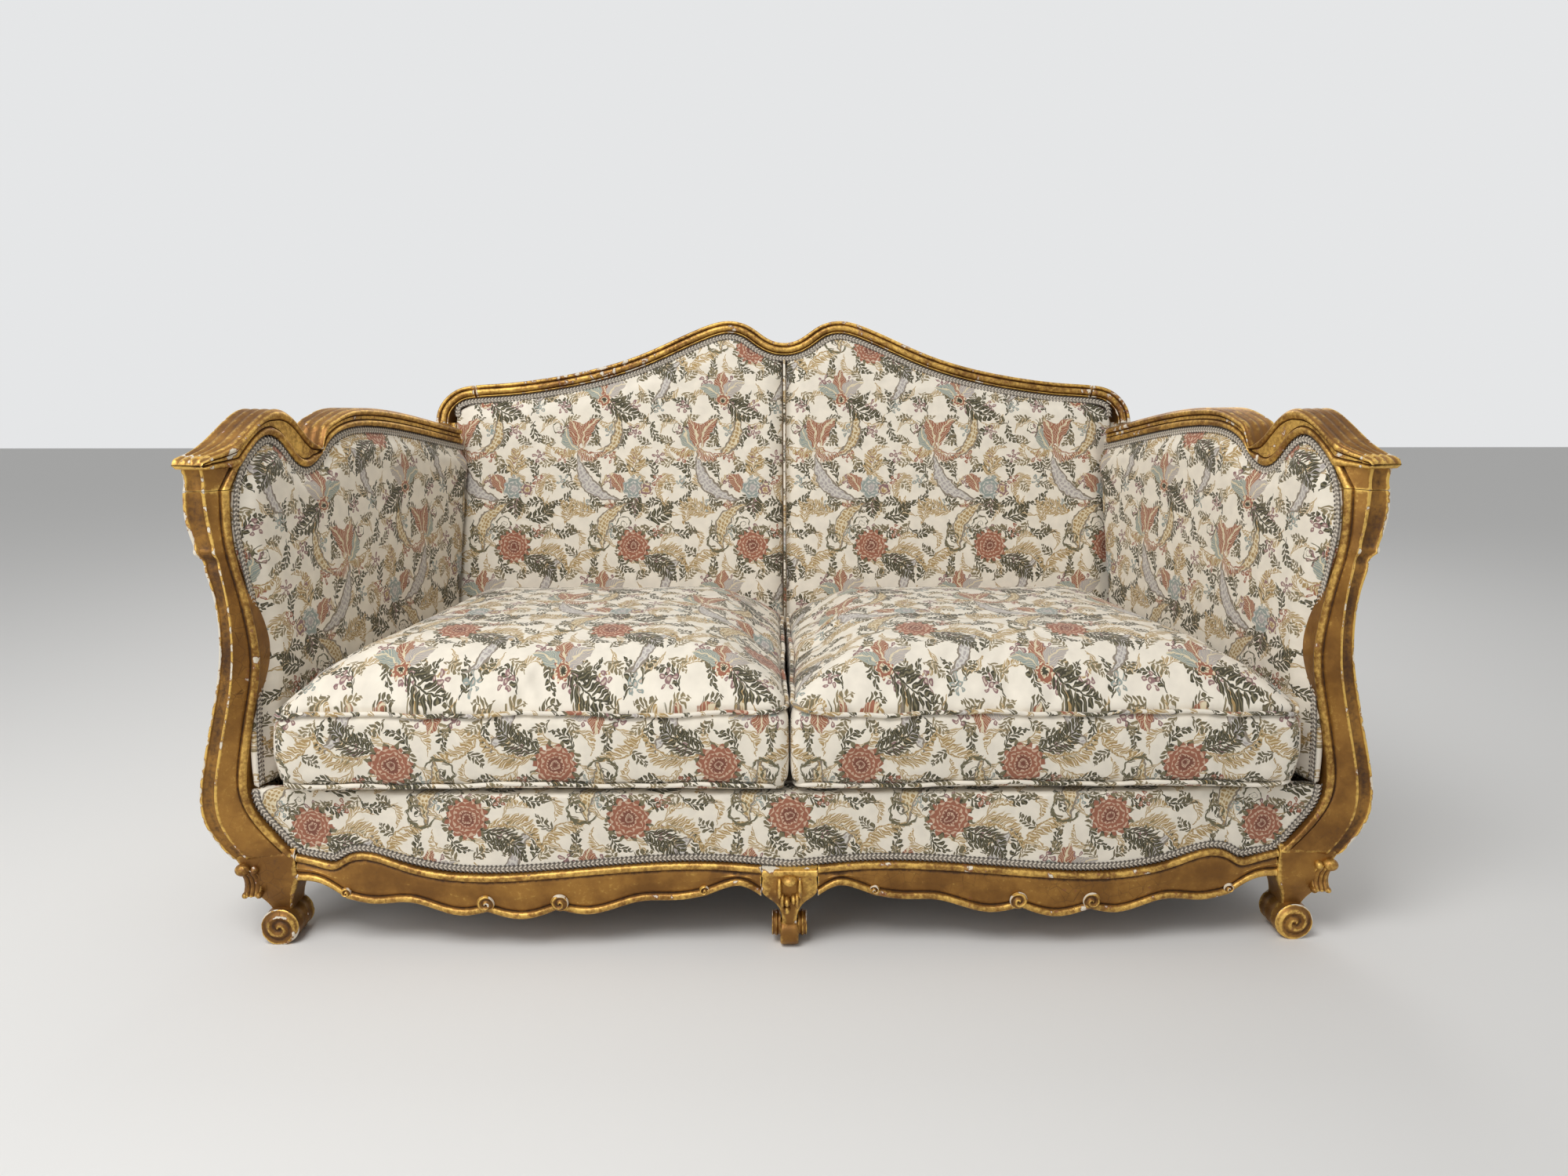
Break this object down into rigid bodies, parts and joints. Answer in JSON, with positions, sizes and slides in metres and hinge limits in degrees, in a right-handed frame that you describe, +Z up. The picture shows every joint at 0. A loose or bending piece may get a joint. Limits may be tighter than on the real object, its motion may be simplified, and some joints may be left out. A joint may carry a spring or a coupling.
{
  "type": "baroque sofa",
  "caption": "Gilt carved sofa with a serpentine crest, splayed padded arms, scroll feet, a bowed apron and loose box cushions, for sitting on.",
  "frame": {"origin": "on the floor, under the middle of the sofa's overall box", "axes": "+X to the right of someone who faces the sofa, +Y towards its back, +Z up"},
  "size_m": [1.8238, 0.8759, 0.9932],
  "materials": {
    "gilt_wood": "aged gold leaf over bole",
    "beech": "raw",
    "steel": "plain",
    "braid": "woven braid",
    "jute": "coarse weave",
    "padding": "wadding",
    "lining": "plain weave",
    "brocade": "woven floral brocade"
  },
  "bodies": {
    "frame": {"back_gimp": "braid", "back_tack_rail": "beech", "back_upright": "beech", "back_webbing": "jute", "border_gimp": "braid", "centre_bearer": "beech", "centre_leg": "gilt_wood", "corner_block_screws": "steel", "corner_blocks": "beech", "crest_rail": "gilt_wood", "deck_cloth": "lining", "dust_cover": "lining", "frame_dowels": "beech", "front_border": "brocade", "front_seat_rail": "beech", "left_apron": "gilt_wood", "left_arm_gimp": "braid", "left_arm_pad": "brocade", "left_arm_rail": "gilt_wood", "left_arm_tack_rail": "beech", "left_arm_webbing": "jute", "left_back_pad": "brocade", "left_back_post": "gilt_wood", "left_front_post": "gilt_wood", "left_outer_arm_cover": "brocade", "left_side_seat_rail": "beech", "outer_back_cover": "brocade", "rear_seat_rail": "beech", "right_apron": "gilt_wood", "right_arm_gimp": "braid", "right_arm_pad": "brocade", "right_arm_rail": "gilt_wood", "right_arm_tack_rail": "beech", "right_arm_webbing": "jute", "right_back_pad": "brocade", "right_back_post": "gilt_wood", "right_front_post": "gilt_wood", "right_outer_arm_cover": "brocade", "right_side_seat_rail": "beech", "seat_deck_pad": "padding", "seat_hessian": "jute", "seat_springs": "steel", "spring_clips": "steel"},
    "left_cushion": {"left_cushion_cover": "brocade", "left_cushion_filling": "padding"},
    "right_cushion": {"right_cushion_cover": "brocade", "right_cushion_filling": "padding"}
  },
  "joints": [
    {"name": "left_cushion_lift", "type": "slide", "parent": "frame", "child": "left_cushion", "axis": [0, 0, 1], "range_m": [0, 0.6]},
    {"name": "right_cushion_lift", "type": "slide", "parent": "frame", "child": "right_cushion", "axis": [0, 0, 1], "range_m": [0, 0.6]}
  ]
}
